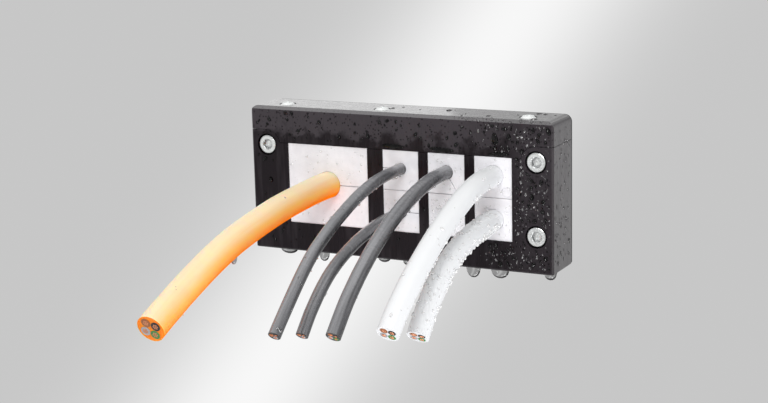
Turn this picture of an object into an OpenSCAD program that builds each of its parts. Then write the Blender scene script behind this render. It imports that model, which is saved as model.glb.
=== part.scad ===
// Split cable entry plate for a wall cut-out. A comb-shaped frame and a screwed
// cover bar clamp one large and six small slit grommets round their cables.
// The front faces -Y, +Z is up, and the wall is the plane y = 0.

/* [Windows] */
// Width of the large window
large_window = 39.9; // [30:0.1:60]
// Width of each small window
small_window = 17.3; // [14:0.1:24]
// Windows from the grommet joint up to the cover
window_above = 17.75; // [14:0.05:24]
// Windows from the grommet joint down to the lower wall
window_below = 18.55; // [14:0.05:24]
// Rib between the large window and the small ones
main_rib = 7.5; // [6.5:0.1:12]
// Rib between two small windows
thin_rib = 4.5; // [3.5:0.1:8]
// Depth of the groove that grips a grommet's sides
side_grip = 0.95; // [0.5:0.05:1.2]
// Depth of the groove that grips the upper grommets' tops
top_grip = 1.45; // [0.5:0.05:3]
// Depth of the groove that grips the lower grommets' feet
foot_grip = 0.65; // [0.4:0.05:3]

/* [Plate] */
// Depth of the frame without its gasket
frame_depth = 21.2; // [15:0.1:30]
// Thickness of the lip in front of the grooves
front_lip = 4; // [2:0.1:5]
// Thickness of the lip behind the grooves
rear_lip = 4; // [2:0.1:5]
// Lower wall under the windows
lower_wall = 13.1; // [8:0.1:20]
// Cover bar over the windows
cover_height = 16.3; // [12:0.1:24]
// Gap between the cover bar and the comb frame
parting_gap = 0.2; // [0.1:0.05:0.5]
// Round of the plate's upper corners
top_round = 3.2; // [0.5:0.1:4]
// Round of the plate's lower corners
foot_round = 1; // [0.3:0.1:4]
// Bevel of the front edge at the sides and foot
edge_bevel = 0.8; // [0.3:0.1:2]
// Bevel of the front edge along the top
top_bevel = 1.4; // [0.5:0.1:3]
// Thickness of the panel gasket
gasket_thickness = 1.5; // [0.5:0.1:4]
// Step of the gasket's outer edge inside the plate's edge
gasket_inset = 0.2; // [0.2:0.1:2]
// Step of the gasket's opening outside the windows
gasket_margin = 1.5; // [0.5:0.1:4]

/* [Mounting screws] */
// Outer window edge to the mounting screws
screw_inset = 10.85; // [9:0.05:18]
// Mounting screws to the plate's end
screw_edge = 7.85; // [6.5:0.05:14]
// Spacing of the mounting screws up the plate
screw_span_z = 32; // [26:0.1:36]
// Screw pattern's centre above the grommet joint
screw_lift = 0.5; // [0:0.1:2]
// Thread diameter of the mounting screws
screw_d = 5; // [4:0.1:6]
// Plain shank's step inside the thread of the mounting screws
shank_step = 0.3; // [0.2:0.05:0.5]
// Reach of the threads behind the wall's face
screw_reach = 7.6; // [6:0.1:20]
// Head diameter of the mounting screws
head_d = 8.5; // [7:0.1:10]
// Head height of the mounting screws
head_height = 5; // [3:0.1:6]
// Width of the head's hexagon socket
socket_width = 4; // [3:0.1:5]
// Depth of the head's hexagon socket
socket_depth = 2.5; // [1.5:0.1:3]
// Head's depth below the plate's front
head_sink = 0.3; // [0:0.1:2]
// Clearance round the head
head_gap = 0.65; // [0.3:0.05:1.5]
// Clearance round the thread
thread_gap = 0.25; // [0.1:0.05:0.5]
// Comb frame's shoulder round the upper mounting screws
shoulder_r = 6.7; // [6:0.1:9]

/* [Cover screws] */
// Outer window edge to the end cover screws
cover_screw_inset = 4.2; // [3.5:0.1:5]
// Cover screws in front of the plate's middle
cover_screw_shift = 2; // [0:0.1:2.5]
// Thread diameter of the cover screws
cover_screw_d = 3.5; // [2.5:0.1:4]
// Length of the cover screws under the head
cover_screw_length = 25; // [18:0.5:36]
// Head diameter of the cover screws
cover_head_d = 7; // [5:0.1:8]
// Head height of the cover screws
cover_head_height = 2.8; // [2:0.1:4]
// Head's depth below the cover's top
cover_head_sink = 0; // [0:0.1:2]
// Clearance round the head and the thread in the cover
cover_screw_gap = 0.3; // [0.1:0.05:0.6]
// Width of the cover screw's hexagon socket
cover_socket_width = 3; // [2:0.1:4]
// Depth of the cover screw's hexagon socket
cover_socket_depth = 1.6; // [1:0.1:2.2]
// Clearance of a formed thread in the comb frame
formed_gap = 0.05; // [0.02:0.01:0.2]
// Blind hole past the cover screw's tip
pilot_spare = 1.5; // [0.5:0.1:4]

/* [Grommets] */
// Step of the grommets' faces behind the plate's front
face_step = 0.3; // [0:0.1:1]
// Clearance of a grommet in its window
grommet_gap = 0.05; // [0.02:0.01:0.2]
// Joint line between an upper and a lower grommet's face
face_joint = 0.24; // [0.1:0.02:0.6]
// Width of the slit that lets a cable in
slit_width = 0.3; // [0.2:0.05:0.6]
// Diameter of the round mould mark on a grommet's face
mark_d = 4.6; // [2:0.1:6]
// Width of the mould mark's groove
mark_groove = 0.5; // [0.2:0.05:1]
// Depth of the mould mark's groove
mark_depth = 0.25; // [0.1:0.05:0.5]
// Mould mark's step from the face's lower right edges
mark_margin = 0.25; // [0.1:0.05:1]

/* [Cables] */
// Diameter of the orange cable
orange_d = 11.8; // [8:0.1:16]
// Diameter of the black cables in the first column
slim_black_d = 5.2; // [3:0.1:8]
// Diameter of the black cable in the second column
stout_black_d = 6.2; // [3:0.1:9]
// Diameter of the white cables
white_d = 9.2; // [5:0.1:11]
// Clearance of a cable in its bore
bore_gap = 0.05; // [0.02:0.01:0.3]
// Cut end of each cable behind the wall's face
cable_tail = 6; // [4:0.5:20]

/* [Hidden] */
$fn = 64;

// Colours of the materials
black_nylon = [0.09, 0.085, 0.09];
black_rubber = [0.05, 0.05, 0.05];
pale_rubber = [0.76, 0.74, 0.75];
zinc = [0.72, 0.72, 0.7];
orange_sheath = [0.95, 0.5, 0.16];
black_sheath = [0.13, 0.13, 0.14];
white_sheath = [0.9, 0.9, 0.92];

// A cut runs this far past the face it opens
past = 1;

// The columns of windows across the plate
small_columns = 3;
column_pitch = small_window + thin_rib;
windows_width = large_window + main_rib + small_columns * column_pitch - thin_rib;
windows_right = windows_width / 2;
windows_left = -windows_right;
large_x = windows_left + large_window / 2;
main_rib_x = windows_left + large_window + main_rib / 2;
function column_x(column) = main_rib_x + main_rib / 2 + small_window / 2 + (column - 1) * column_pitch;

// Heights, with the screw pattern's centre at z = 0
joint_z = -screw_lift;
window_top = joint_z + window_above;
window_foot = joint_z - window_below;
plate_top = window_top + cover_height;
plate_foot = window_foot - lower_wall;
groove_top = window_top + top_grip;
groove_foot = window_foot - foot_grip;
upper_bore_z = (joint_z + groove_top) / 2;
lower_bore_z = (joint_z + groove_foot) / 2;
parting_z = window_top - parting_gap;

// Depths, with the wall's face at y = 0
back_y = -gasket_thickness;
front_y = back_y - frame_depth;
groove_front = front_y + front_lip;
groove_back = back_y - rear_lip;
face_y = front_y + face_step;

// Mounting and cover screws
screw_x = windows_right + screw_inset;
screw_z = screw_span_z / 2;
plate_end = screw_x + screw_edge;
head_seat_y = front_y + head_sink + head_height;
cover_screw_x = windows_right + cover_screw_inset;
cover_screw_y = (front_y + back_y) / 2 - cover_screw_shift;
cover_seat_z = plate_top - cover_head_sink - cover_head_height;
tip_bevel = 0.6;
head_bevel = 0.4;

// Each route is the distance out from the grommet's face, and the drop
orange_route = [
    [0, 0], [8, 0], [16, 0.2], [24, 0.6], [34, 1.2], [44, 2], [54, 3.2], [64, 4.6], [74, 6.2],
    [84, 8.2], [94, 10.8], [104, 13.8], [112, 16.5], [120, 19.3], [127, 22], [134, 24.7], [141, 27.6]
];
black_1_upper_route = [
    [0, 0], [6, 0], [12, 0.1], [18, 0.4], [24, 1], [32, 2.3], [40, 4.1], [48, 6.4],
    [56, 9.1], [64, 12], [72, 15.4], [79, 18.8], [85, 22.6], [91, 27], [97, 31.8], [107, 40.2], [111.5, 44.2]
];
black_1_lower_route = [
    [0, 0], [6, 0], [12, 0.1], [18, 0.3], [24, 0.8], [30, 1.5], [36, 2.4], [42, 3.5],
    [48, 5], [54, 6.7], [60, 8.8], [66, 11.4], [71, 14.2], [75.5, 17.2], [80, 20.7], [84, 24.1], [90.5, 30.8]
];
black_2_upper_route = [
    [0, 0], [6, 0], [12, 0.2], [18, 0.8], [24, 1.7], [30, 2.9], [36, 4.4], [42, 6.1],
    [48, 8.1], [54, 10.4], [60, 12.9], [66, 15.7], [72, 18.9], [78, 22.5], [84, 26.4], [94, 34], [104.5, 44]
];
white_3_upper_route = [
    [0, 0], [6, 0], [12, 0.2], [18, 0.9], [24, 2], [30, 3.5], [36, 5.4], [42, 7.5],
    [48, 9.8], [54, 12.3], [60, 15], [66, 17.9], [72, 21], [78, 24.3], [84, 27.9], [94, 34.8], [101.5, 41.2]
];
white_3_lower_route = [
    [0, 0], [5, 0], [10, 0.2], [15, 0.6], [20, 1.1], [25, 1.8], [30, 2.7], [35, 3.8],
    [40, 5.2], [45, 7], [50, 9.3], [54, 11.6], [58, 14.2], [62, 17.1], [66, 20.3], [72.5, 26.4], [76, 30.4]
];
cable_sides = 12;
ring_stride = 2;

// Draws a front view, in x and z, from one depth to another
module between(from_y, to_y) {
    translate([0, to_y, 0])
        rotate([90, 0, 0])
            linear_extrude(to_y - from_y)
                children();
}

module front_rectangle(left, right, foot, top) {
    translate([left, foot])
        square([right - left, top - foot]);
}

// Front view of the plate, drawn in by an inset all round
module plate_outline(inset) {
    end = plate_end - inset;
    foot = plate_foot + inset;
    top = plate_top - inset;
    front_rectangle(-end, end, foot + foot_round, top - top_round);
    front_rectangle(foot_round - end, end - foot_round, foot, top - top_round);
    front_rectangle(top_round - end, end - top_round, foot + foot_round, top);
    for (side = [-1, 1]) {
        translate([side * (end - foot_round), foot + foot_round])
            circle(foot_round);
        translate([side * (end - top_round), top - top_round])
            circle(top_round);
    }
}

// The frame and cover as one block: front view, end view and plan together
module plate_block() {
    intersection() {
        between(front_y, back_y)
            plate_outline(0);
        rotate([90, 0, 90])
            linear_extrude(2 * plate_end, center = true)
                polygon([
                    [back_y, plate_foot], [back_y, plate_top],
                    [front_y + top_bevel, plate_top], [front_y, plate_top - top_bevel],
                    [front_y, plate_foot + edge_bevel], [front_y + edge_bevel, plate_foot]
                ]);
        translate([0, 0, plate_foot])
            linear_extrude(plate_top - plate_foot)
                polygon([
                    [-plate_end, back_y], [-plate_end, front_y + edge_bevel],
                    [-plate_end + edge_bevel, front_y], [plate_end - edge_bevel, front_y],
                    [plate_end, front_y + edge_bevel], [plate_end, back_y]
                ]);
    }
}

// Front view of the comb frame's side of the parting line, grown by a gap.
// It runs along the window tops and steps up round the upper screws.
module comb_side(gap) {
    front_rectangle(-plate_end - past, plate_end + past, plate_foot - past, parting_z + gap);
    for (side = [-1, 1]) {
        translate([side * screw_x, screw_z])
            circle(shoulder_r + gap);
        translate([side * (screw_x + plate_end + past) / 2, screw_z])
            square([plate_end + past - screw_x, 2 * (shoulder_r + gap)], center = true);
    }
}

// Front view of all windows, grown sideways, up and down
module windows(side_growth, top, foot) {
    front_rectangle(windows_left - side_growth, windows_left + large_window + side_growth, foot, top);
    for (column = [1 : small_columns])
        front_rectangle(
            column_x(column) - small_window / 2 - side_growth,
            column_x(column) + small_window / 2 + side_growth,
            foot, top
        );
}

module mounting_holes() {
    for (x = [-screw_x, screw_x], z = [-screw_z, screw_z])
        translate([x, 0, z])
            rotate([90, 0, 0]) {
                translate([0, 0, -past])
                    cylinder(d = screw_d + 2 * thread_gap, h = past - front_y);
                translate([0, 0, -head_seat_y])
                    cylinder(d = head_d + 2 * head_gap, h = head_seat_y - front_y + past);
            }
}

module at_cover_screws() {
    for (x = [-cover_screw_x, main_rib_x, cover_screw_x])
        translate([x, cover_screw_y, cover_seat_z])
            children();
}

// Lower frame: a comb of ribs open at the top, grooved for the grommets
module comb_frame() {
    color(black_nylon)
        difference() {
            intersection() {
                plate_block();
                between(front_y - past, back_y + past)
                    comb_side(0);
            }
            between(front_y - past, back_y + past)
                windows(0, plate_top, window_foot);
            between(groove_front, groove_back)
                windows(side_grip, plate_top, groove_foot);
            mounting_holes();
            at_cover_screws()
                translate([0, 0, -cover_screw_length - pilot_spare])
                    cylinder(d = cover_screw_d + 2 * formed_gap, h = cover_screw_length);
        }
}

// Cover bar: closes the comb and presses on the upper grommets
module cover_bar() {
    color(black_nylon)
        difference() {
            plate_block();
            between(front_y - past, back_y + past)
                comb_side(parting_gap);
            between(groove_front, groove_back)
                windows(side_grip, groove_top, plate_foot);
            at_cover_screws() {
                cylinder(
                    d = cover_head_d + 2 * cover_screw_gap,
                    h = cover_head_height + cover_head_sink + past
                );
                translate([0, 0, -plate_top])
                    cylinder(d = cover_screw_d + 2 * cover_screw_gap, h = plate_top + past);
            }
        }
}

// Flat sheet gasket between the plate and the wall
module panel_gasket() {
    color(black_rubber)
        difference() {
            between(back_y, 0)
                difference() {
                    plate_outline(gasket_inset);
                    front_rectangle(
                        windows_left - gasket_margin, windows_right + gasket_margin,
                        window_foot - gasket_margin, window_top + gasket_margin
                    );
                }
            for (x = [-screw_x, screw_x], z = [-screw_z, screw_z])
                translate([x, past, z])
                    rotate([90, 0, 0])
                        cylinder(d = screw_d + 2 * thread_gap, h = gasket_thickness + 2 * past);
        }
}

// A grommet is a block with a flange all round that sits in the grooves.
// Its faces end at the window's edges, or at the joint with the next grommet.
module grommet_block(x, width, face_foot, face_top, flange_foot, flange_top) {
    half_face = width / 2 - grommet_gap;
    half_flange = width / 2 + side_grip - grommet_gap;
    between(face_y, back_y)
        front_rectangle(x - half_face, x + half_face, face_foot, face_top);
    between(groove_front + grommet_gap, groove_back - grommet_gap)
        front_rectangle(x - half_flange, x + half_flange, flange_foot, flange_top);
}

// The bore for a cable, and the slit from it to the edge at an angle
module cable_way(x, z, cable_d, slit_angle, slit_length) {
    translate([x, back_y + past, z])
        rotate([90, 0, 0]) {
            cylinder(d = cable_d + 2 * bore_gap, h = frame_depth + 2 * past);
            rotate([0, 0, slit_angle])
                translate([0, -slit_width / 2, 0])
                    cube([slit_length, slit_width, frame_depth + 2 * past]);
        }
}

// A round groove left by the mould, at the lower right of an upper face
module mould_mark(x) {
    mark_x = x + small_window / 2 - grommet_gap - mark_margin - mark_d / 2;
    mark_z = joint_z + face_joint / 2 + mark_margin + mark_d / 2;
    translate([mark_x, face_y + mark_depth, mark_z])
        rotate([90, 0, 0])
            difference() {
                cylinder(d = mark_d, h = mark_depth + past);
                translate([0, 0, -past])
                    cylinder(d = mark_d - 2 * mark_groove, h = mark_depth + 3 * past);
            }
}

module large_grommet() {
    color(pale_rubber)
        difference() {
            grommet_block(
                large_x, large_window, window_foot + grommet_gap, window_top - grommet_gap,
                groove_foot, groove_top
            );
            cable_way(large_x, joint_z, orange_d, 0, large_window);
        }
}

module upper_block(x) {
    grommet_block(
        x, small_window, joint_z + face_joint / 2, window_top - grommet_gap,
        joint_z, groove_top
    );
}

module lower_block(x) {
    grommet_block(
        x, small_window, window_foot + grommet_gap, joint_z - face_joint / 2,
        groove_foot, joint_z
    );
}

module upper_grommet(column, cable_d, slit_angle, marked) {
    color(pale_rubber)
        difference() {
            upper_block(column_x(column));
            cable_way(column_x(column), upper_bore_z, cable_d, slit_angle, small_window);
            if (marked)
                mould_mark(column_x(column));
        }
}

module lower_grommet(column, cable_d, slit_angle) {
    color(pale_rubber)
        difference() {
            lower_block(column_x(column));
            cable_way(column_x(column), lower_bore_z, cable_d, slit_angle, small_window);
        }
}

// A grommet with no bore closes a window that has no cable yet
module blank_grommet(column) {
    color(pale_rubber)
        lower_block(column_x(column));
}

// Turned outline of a screw with its head's seat at z = 0 and its tip below.
// The neck lists the points of a plain shank above the thread, if it has one.
module screw_blank(neck, thread_d, length, head_d, head_height) {
    rotate_extrude()
        polygon(concat(
            [
                [0, head_height], [head_d / 2 - head_bevel, head_height],
                [head_d / 2, head_height - head_bevel], [head_d / 2, 0]
            ],
            neck,
            [
                [thread_d / 2, len(neck) == 0 ? 0 : neck[1][1]], [thread_d / 2, tip_bevel - length],
                [thread_d / 2 - tip_bevel, -length], [0, -length]
            ]
        ));
}

module hexagon_socket(width, depth, head_height) {
    translate([0, 0, head_height - depth])
        cylinder(d = width / cos(30), h = depth + past, $fn = 6);
}

// Socket head screw with a plain shank as far as the wall's face
module mount_screw(x, z) {
    neck_r = screw_d / 2 - shank_step;
    color(zinc)
        translate([x, head_seat_y, z])
            rotate([90, 0, 0])
                difference() {
                    screw_blank(
                        [[neck_r, 0], [neck_r, head_seat_y]],
                        screw_d, screw_reach - head_seat_y, head_d, head_height
                    );
                    hexagon_socket(socket_width, socket_depth, head_height);
                }
}

// Thread-forming screw that pulls the cover bar down
module cover_screw(x) {
    color(zinc)
        translate([x, cover_screw_y, cover_seat_z])
            difference() {
                screw_blank([], cover_screw_d, cover_screw_length, cover_head_d, cover_head_height);
                hexagon_socket(cover_socket_width, cover_socket_depth, cover_head_height);
            }
}

// A cable's centre line: the cut tail behind the wall, then every second
// point of its route in front of the grommet
function cable_line(x, z, route) = concat(
    [[x, cable_tail, z]],
    [for (i = [0 : ring_stride : len(route) - 1]) [x, face_y - route[i][0], z - route[i][1]]]
);

function heading(line, i) =
    let (ahead = line[min(i + 1, len(line) - 1)], behind = line[max(i - 1, 0)])
    (ahead - behind) / norm(ahead - behind);

// Points of one ring square to the line, which stays in one upright plane
function ring(line, i, r) =
    let (along = i == 1 ? [0, -1, 0] : heading(line, i))
    [for (k = [0 : cable_sides - 1])
        let (turn = 360 * k / cable_sides)
        line[i] + r * [cos(turn), -sin(turn) * along[2], sin(turn) * along[1]]];

module cable(line, d, sheath) {
    rings = len(line);
    points = [for (i = [0 : rings - 1]) each ring(line, i, d / 2)];
    near_end = [for (k = [0 : cable_sides - 1]) k];
    far_end = [for (k = [cable_sides - 1 : -1 : 0]) (rings - 1) * cable_sides + k];
    walls = [
        for (i = [0 : rings - 2], k = [0 : cable_sides - 1])
            let (a = i * cable_sides + k, b = i * cable_sides + (k + 1) % cable_sides)
            each [[a, a + cable_sides, b], [b, a + cable_sides, b + cable_sides]]
    ];
    color(sheath)
        polyhedron(points, concat([near_end], walls, [far_end]));
}

comb_frame();
cover_bar();
panel_gasket();
large_grommet();
upper_grommet(1, slim_black_d, 180, true);  // grommet_1_upper
lower_grommet(1, slim_black_d, 0);  // grommet_1_lower
upper_grommet(2, stout_black_d, -60, false);  // grommet_2_upper
blank_grommet(2);  // grommet_2_blank
upper_grommet(3, white_d, 180, true);  // grommet_3_upper
lower_grommet(3, white_d, 180);  // grommet_3_lower
mount_screw(-screw_x, screw_z);  // mount_screw_upper_left
mount_screw(screw_x, screw_z);  // mount_screw_upper_right
mount_screw(-screw_x, -screw_z);  // mount_screw_lower_left
mount_screw(screw_x, -screw_z);  // mount_screw_lower_right
cover_screw(-cover_screw_x);  // cover_screw_left
cover_screw(main_rib_x);  // cover_screw_middle
cover_screw(cover_screw_x);  // cover_screw_right
cable(cable_line(large_x, joint_z, orange_route), orange_d, orange_sheath);  // cable_orange
cable(cable_line(column_x(1), upper_bore_z, black_1_upper_route), slim_black_d, black_sheath);  // cable_black_1_upper
cable(cable_line(column_x(1), lower_bore_z, black_1_lower_route), slim_black_d, black_sheath);  // cable_black_1_lower
cable(cable_line(column_x(2), upper_bore_z, black_2_upper_route), stout_black_d, black_sheath);  // cable_black_2_upper
cable(cable_line(column_x(3), upper_bore_z, white_3_upper_route), white_d, white_sheath);  // cable_white_3_upper
cable(cable_line(column_x(3), lower_bore_z, white_3_lower_route), white_d, white_sheath);  // cable_white_3_lower
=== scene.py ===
import math
import random

import bmesh
import bpy
from mathutils import Matrix, Vector
from mathutils.geometry import interpolate_bezier


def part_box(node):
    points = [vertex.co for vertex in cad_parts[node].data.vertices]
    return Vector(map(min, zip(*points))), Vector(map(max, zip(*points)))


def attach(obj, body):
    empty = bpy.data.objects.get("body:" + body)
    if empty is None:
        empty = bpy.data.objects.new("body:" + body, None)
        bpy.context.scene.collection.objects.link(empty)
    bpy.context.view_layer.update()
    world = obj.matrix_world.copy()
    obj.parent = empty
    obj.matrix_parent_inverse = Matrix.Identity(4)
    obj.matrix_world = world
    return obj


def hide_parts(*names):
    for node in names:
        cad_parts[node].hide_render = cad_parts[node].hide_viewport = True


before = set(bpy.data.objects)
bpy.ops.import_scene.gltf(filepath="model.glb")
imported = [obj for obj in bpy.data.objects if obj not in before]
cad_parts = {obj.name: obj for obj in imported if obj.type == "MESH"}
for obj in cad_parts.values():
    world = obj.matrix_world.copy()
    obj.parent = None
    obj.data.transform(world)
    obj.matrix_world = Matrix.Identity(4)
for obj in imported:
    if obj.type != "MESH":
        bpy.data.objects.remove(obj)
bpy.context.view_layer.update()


# Panel gasket
# A sheet of black cellular rubber, cut with one opening for all the grommets and
# four holes for the screws, which squeeze it between the plate and the wall.
MM = 0.001
gasket_edge_round = 0.2 * MM
# The pores are darker than the rubber round them: painted shade in the pits
gasket_colours_and_pore_shade = ((0.012, 0.012, 0.013), (0.034, 0.034, 0.035))
gasket_roughness = (0.75, 0.9)
gasket_clouds = 300
gasket_pores = 1400
gasket_pore_span = (0.1, 0.6)
gasket_pore_depth = 0.12 * MM
weld_distance = 0.001 * MM
flat_angle = math.radians(1)
sharp_angle = math.radians(28)
edge_steps = 2
flat_face_weight = 100


def new_piece(name, data, finish):
    """An object in the row frame that rides on the plate."""
    piece = bpy.data.objects.new(name, data)
    bpy.context.scene.collection.objects.link(piece)
    data.materials.append(finish)
    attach(piece, "root")
    return piece


def mesh_from(name, shape, smooth=True):
    """The shape as a mesh with smooth or flat shading."""
    for face in shape.faces:
        face.smooth = smooth
    data = bpy.data.meshes.new(name)
    shape.to_mesh(data)
    shape.free()
    return data


def softened(node, edge_round, finish):
    """The node's solid with its sharp edges rounded, as a mould or a die leaves them."""
    shape = bmesh.new()
    shape.from_mesh(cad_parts[node].data)
    bmesh.ops.remove_doubles(shape, verts=shape.verts, dist=weld_distance)
    bmesh.ops.dissolve_limit(shape, angle_limit=flat_angle, verts=shape.verts, edges=shape.edges)
    bmesh.ops.connect_verts_concave(shape, faces=shape.faces)
    piece = new_piece(node + "_rounded", mesh_from(node + "_shape", shape), finish)
    rounding = piece.modifiers.new("rounded_edges", "BEVEL")
    rounding.width = edge_round
    rounding.segments = edge_steps
    rounding.limit_method = "ANGLE"
    rounding.angle_limit = sharp_angle
    flat_faces = piece.modifiers.new("flat_faces", "WEIGHTED_NORMAL")
    flat_faces.weight = flat_face_weight
    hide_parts(node)


def new_finish(name):
    """A material with its node tree and its main shader."""
    finish = bpy.data.materials.new(name)
    finish.use_nodes = True
    return finish, finish.node_tree, finish.node_tree.nodes["Principled BSDF"]


def set_inputs(tree, made, inputs):
    """Sets a node's inputs to numbers or colours, or links them to other nodes' outputs."""
    for key, value in inputs.items():
        if isinstance(value, bpy.types.NodeSocket):
            tree.links.new(value, made.inputs[key])
        else:
            made.inputs[key].default_value = value


def add_node(tree, kind, inputs, **settings):
    """A new shader node with its settings and inputs."""
    made = tree.nodes.new(kind)
    for key, value in settings.items():
        setattr(made, key, value)
    set_inputs(tree, made, inputs)
    return made


def own_place(tree):
    """The point's place in the row frame, in metres."""
    return add_node(tree, "ShaderNodeTexCoord", {}).outputs["Object"]


def speckle(tree, grains, detail=2.0):
    """Cloudy noise with that many grains to the metre."""
    inputs = {"Vector": own_place(tree), "Scale": grains, "Detail": detail}
    return add_node(tree, "ShaderNodeTexNoise", inputs).outputs["Fac"]


def cells(tree, grains):
    """Distance to the nearest of that many scattered points to the metre."""
    inputs = {"Vector": own_place(tree), "Scale": grains}
    return add_node(tree, "ShaderNodeTexVoronoi", inputs).outputs["Distance"]


def between(tree, value, low, high, start=0.3, end=0.7):
    """The value's stretch from start to end, drawn out from low to high."""
    inputs = {"Value": value, "From Min": start, "From Max": end, "To Min": low, "To Max": high}
    return add_node(tree, "ShaderNodeMapRange", inputs).outputs["Result"]


def tones(tree, value, colours, start=0.3, end=0.7):
    """A colour that goes evenly through the colours as the value goes from start to end."""
    ramp = add_node(tree, "ShaderNodeValToRGB", {"Fac": value})
    stops = ramp.color_ramp.elements
    last = len(colours) - 1
    for k in range(1, last):
        stops.new(k / last)
    for k, (stop, colour) in enumerate(zip(stops, colours)):
        stop.position = start + (end - start) * k / last
        stop.color = (*colour, 1)
    return ramp.outputs["Color"]


def relief(tree, height, depth):
    """Surface relief of that depth in metres."""
    return add_node(tree, "ShaderNodeBump", {"Height": height, "Distance": depth}).outputs["Normal"]


gasket_rubber, tree, shader = new_finish("gasket_rubber")
# Painted shade: the colour darkens into each pore as the relief sinks
pores = cells(tree, gasket_pores)
set_inputs(tree, shader, {
    "Base Color": tones(tree, pores, gasket_colours_and_pore_shade, *gasket_pore_span),
    "Roughness": between(tree, speckle(tree, gasket_clouds), *gasket_roughness),
    "Normal": relief(tree, pores, gasket_pore_depth),
})
softened("panel_gasket", gasket_edge_round, gasket_rubber)


# Comb frame
# The lower moulding of black glass-filled nylon, open at the top so that grommets slide
# into its grooves. Rain has wetted it, and fine spray dulls its upper front and right end.
moulded_edge_round = 0.25 * MM
nylon_colours = ((0.008, 0.005, 0.007), (0.048, 0.041, 0.047))
nylon_roughness = (0.2, 0.42)
nylon_shine = 0.15
nylon_grains = 2600
nylon_grain_depth = 0.02 * MM
# Spray on the upper front: the heights where it starts and is full, how ragged its edge is,
# and the stretch along the plate in which it thins out to a share
spray_heights = (19.5 * MM, 23.5 * MM)
spray_ragged = 5 * MM
spray_blots = 130
spray_thinning = (30 * MM, 62 * MM)
spray_thin_share = 0.35
# Spray on the right end: the stretch in which it comes up to a share, and its shares from foot to top
end_spray_reach = (50 * MM, 60 * MM)
end_spray_share = 0.55
end_spray_heights = (-30 * MM, 25 * MM)
end_spray_shares = (0.45, 1.1)
spray_cells = 620
spray_cell_span = (0.16, 0.3)
trickle_squeeze = (1, 1, 0.12)
trickle_grains = 420
trickle_span = (0.46, 0.66)
trickle_share = 0.3
# The film of water lies on faces that point up and, thinner, on the flat ends
film_top_span = (0.3, 0.7)
film_end_span = (0.8, 0.95)
film_end_share = 0.6
film_roughness = 0.12
film_ior = 1.8


def facing(tree, axis):
    """How far the surface faces along an axis: 1 along it, 0 across it and -1 against it."""
    normal = add_node(tree, "ShaderNodeNewGeometry", {}).outputs["Normal"]
    return add_node(tree, "ShaderNodeSeparateXYZ", {"Vector": normal}).outputs[axis]


def combine(tree, operation, *values):
    """The result of one operation on numbers or other nodes' outputs."""
    inputs = dict(enumerate(values))
    return add_node(tree, "ShaderNodeMath", inputs, operation=operation).outputs["Value"]


def drawn_speckle(tree, squeeze, grains, detail):
    """Cloudy noise that is drawn out along the axes with a small squeeze."""
    inputs = {"Vector": own_place(tree), "Scale": squeeze}
    squeezed = add_node(tree, "ShaderNodeMapping", inputs).outputs["Vector"]
    inputs = {"Vector": squeezed, "Scale": grains, "Detail": detail}
    return add_node(tree, "ShaderNodeTexNoise", inputs).outputs["Fac"]


wet_nylon, tree, shader = new_finish("wet_nylon")
place = add_node(tree, "ShaderNodeSeparateXYZ", {"Vector": own_place(tree)}).outputs
raggedness = between(tree, speckle(tree, spray_blots, detail=5), -spray_ragged, spray_ragged)
high_up = between(tree, combine(tree, "ADD", raggedness, place["Z"]), 0, 1, *spray_heights)
thinning = between(tree, place["X"], 1, spray_thin_share, *spray_thinning)
upper_veil = combine(tree, "MULTIPLY", high_up, thinning)
end_reach = between(tree, place["X"], 0, end_spray_share, *end_spray_reach)
end_height = between(tree, place["Z"], *end_spray_shares, *end_spray_heights)
end_veil = combine(tree, "MULTIPLY", end_reach, end_height)
veil = combine(tree, "MAXIMUM", upper_veil, end_veil)
spots = between(tree, cells(tree, spray_cells), 0, 1, *spray_cell_span)
spray = combine(tree, "MULTIPLY", veil, spots)
runs = drawn_speckle(tree, trickle_squeeze, trickle_grains, detail=4)
trickles = between(tree, runs, 0, trickle_share, *trickle_span)
bloom = combine(tree, "MAXIMUM", spray, trickles)
endwise = combine(tree, "ABSOLUTE", facing(tree, "X"))
film_on_top = between(tree, facing(tree, "Z"), 0, 1, *film_top_span)
film_on_ends = between(tree, endwise, 0, film_end_share, *film_end_span)
set_inputs(tree, shader, {
    "Base Color": tones(tree, bloom, nylon_colours, 0, 1),
    "Roughness": between(tree, runs, *nylon_roughness),
    "Normal": relief(tree, speckle(tree, nylon_grains), nylon_grain_depth),
    "Specular IOR Level": nylon_shine,
    "Coat Weight": combine(tree, "MAXIMUM", film_on_top, film_on_ends),
    "Coat Roughness": film_roughness,
    "Coat IOR": film_ior,
})
softened("comb_frame", moulded_edge_round, wet_nylon)


# Mounting screws
# Four socket head screws of bright zinc-plated steel. Their heads sit in round
# pockets, and their threads reach through the gasket and the wall.
zinc_colours = ((0.68, 0.69, 0.68), (0.82, 0.84, 0.83))
zinc_roughness = (0.2, 0.34)
zinc_clouds = 1500
zinc_smears = 700
zinc_grains = 4000
zinc_grain_depth = 0.008 * MM
# The socket's walls are darker zinc: painted shade in the socket
socket_shade_colours = ((0.4, 0.41, 0.41), (0.62, 0.63, 0.63))
socket_roughness = (0.3, 0.45)
mount_head_d = 8.5 * MM
mount_head_height = 5 * MM
mount_socket_width = 4 * MM
mount_socket_depth = 2.5 * MM
mount_knurl_depth = 0.1 * MM
mount_neck_d = 4.4 * MM
mount_thread_d = 5 * MM
mount_pitch = 0.8 * MM
turning_sides = 72
corner_angle = math.radians(32)
# The socket is drilled first, and its hexagon ends a little above the drill's cone
socket_rings = 4
drill_point_r = 0.2 * MM
drill_share = 0.36
drill_rise = 0.25 * MM
hexagon_rise = 0.4 * MM
socket_chamfer = 0.25 * MM
face_shares = (0, 0.35, 0.7, 1)
head_edge_round = 0.6 * MM
edge_middle_share = 0.3
knurl_teeth = 36
knurl_top_share = 1.5
knurl_foot = 0.3 * MM
head_undercut = 0.2 * MM
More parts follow.
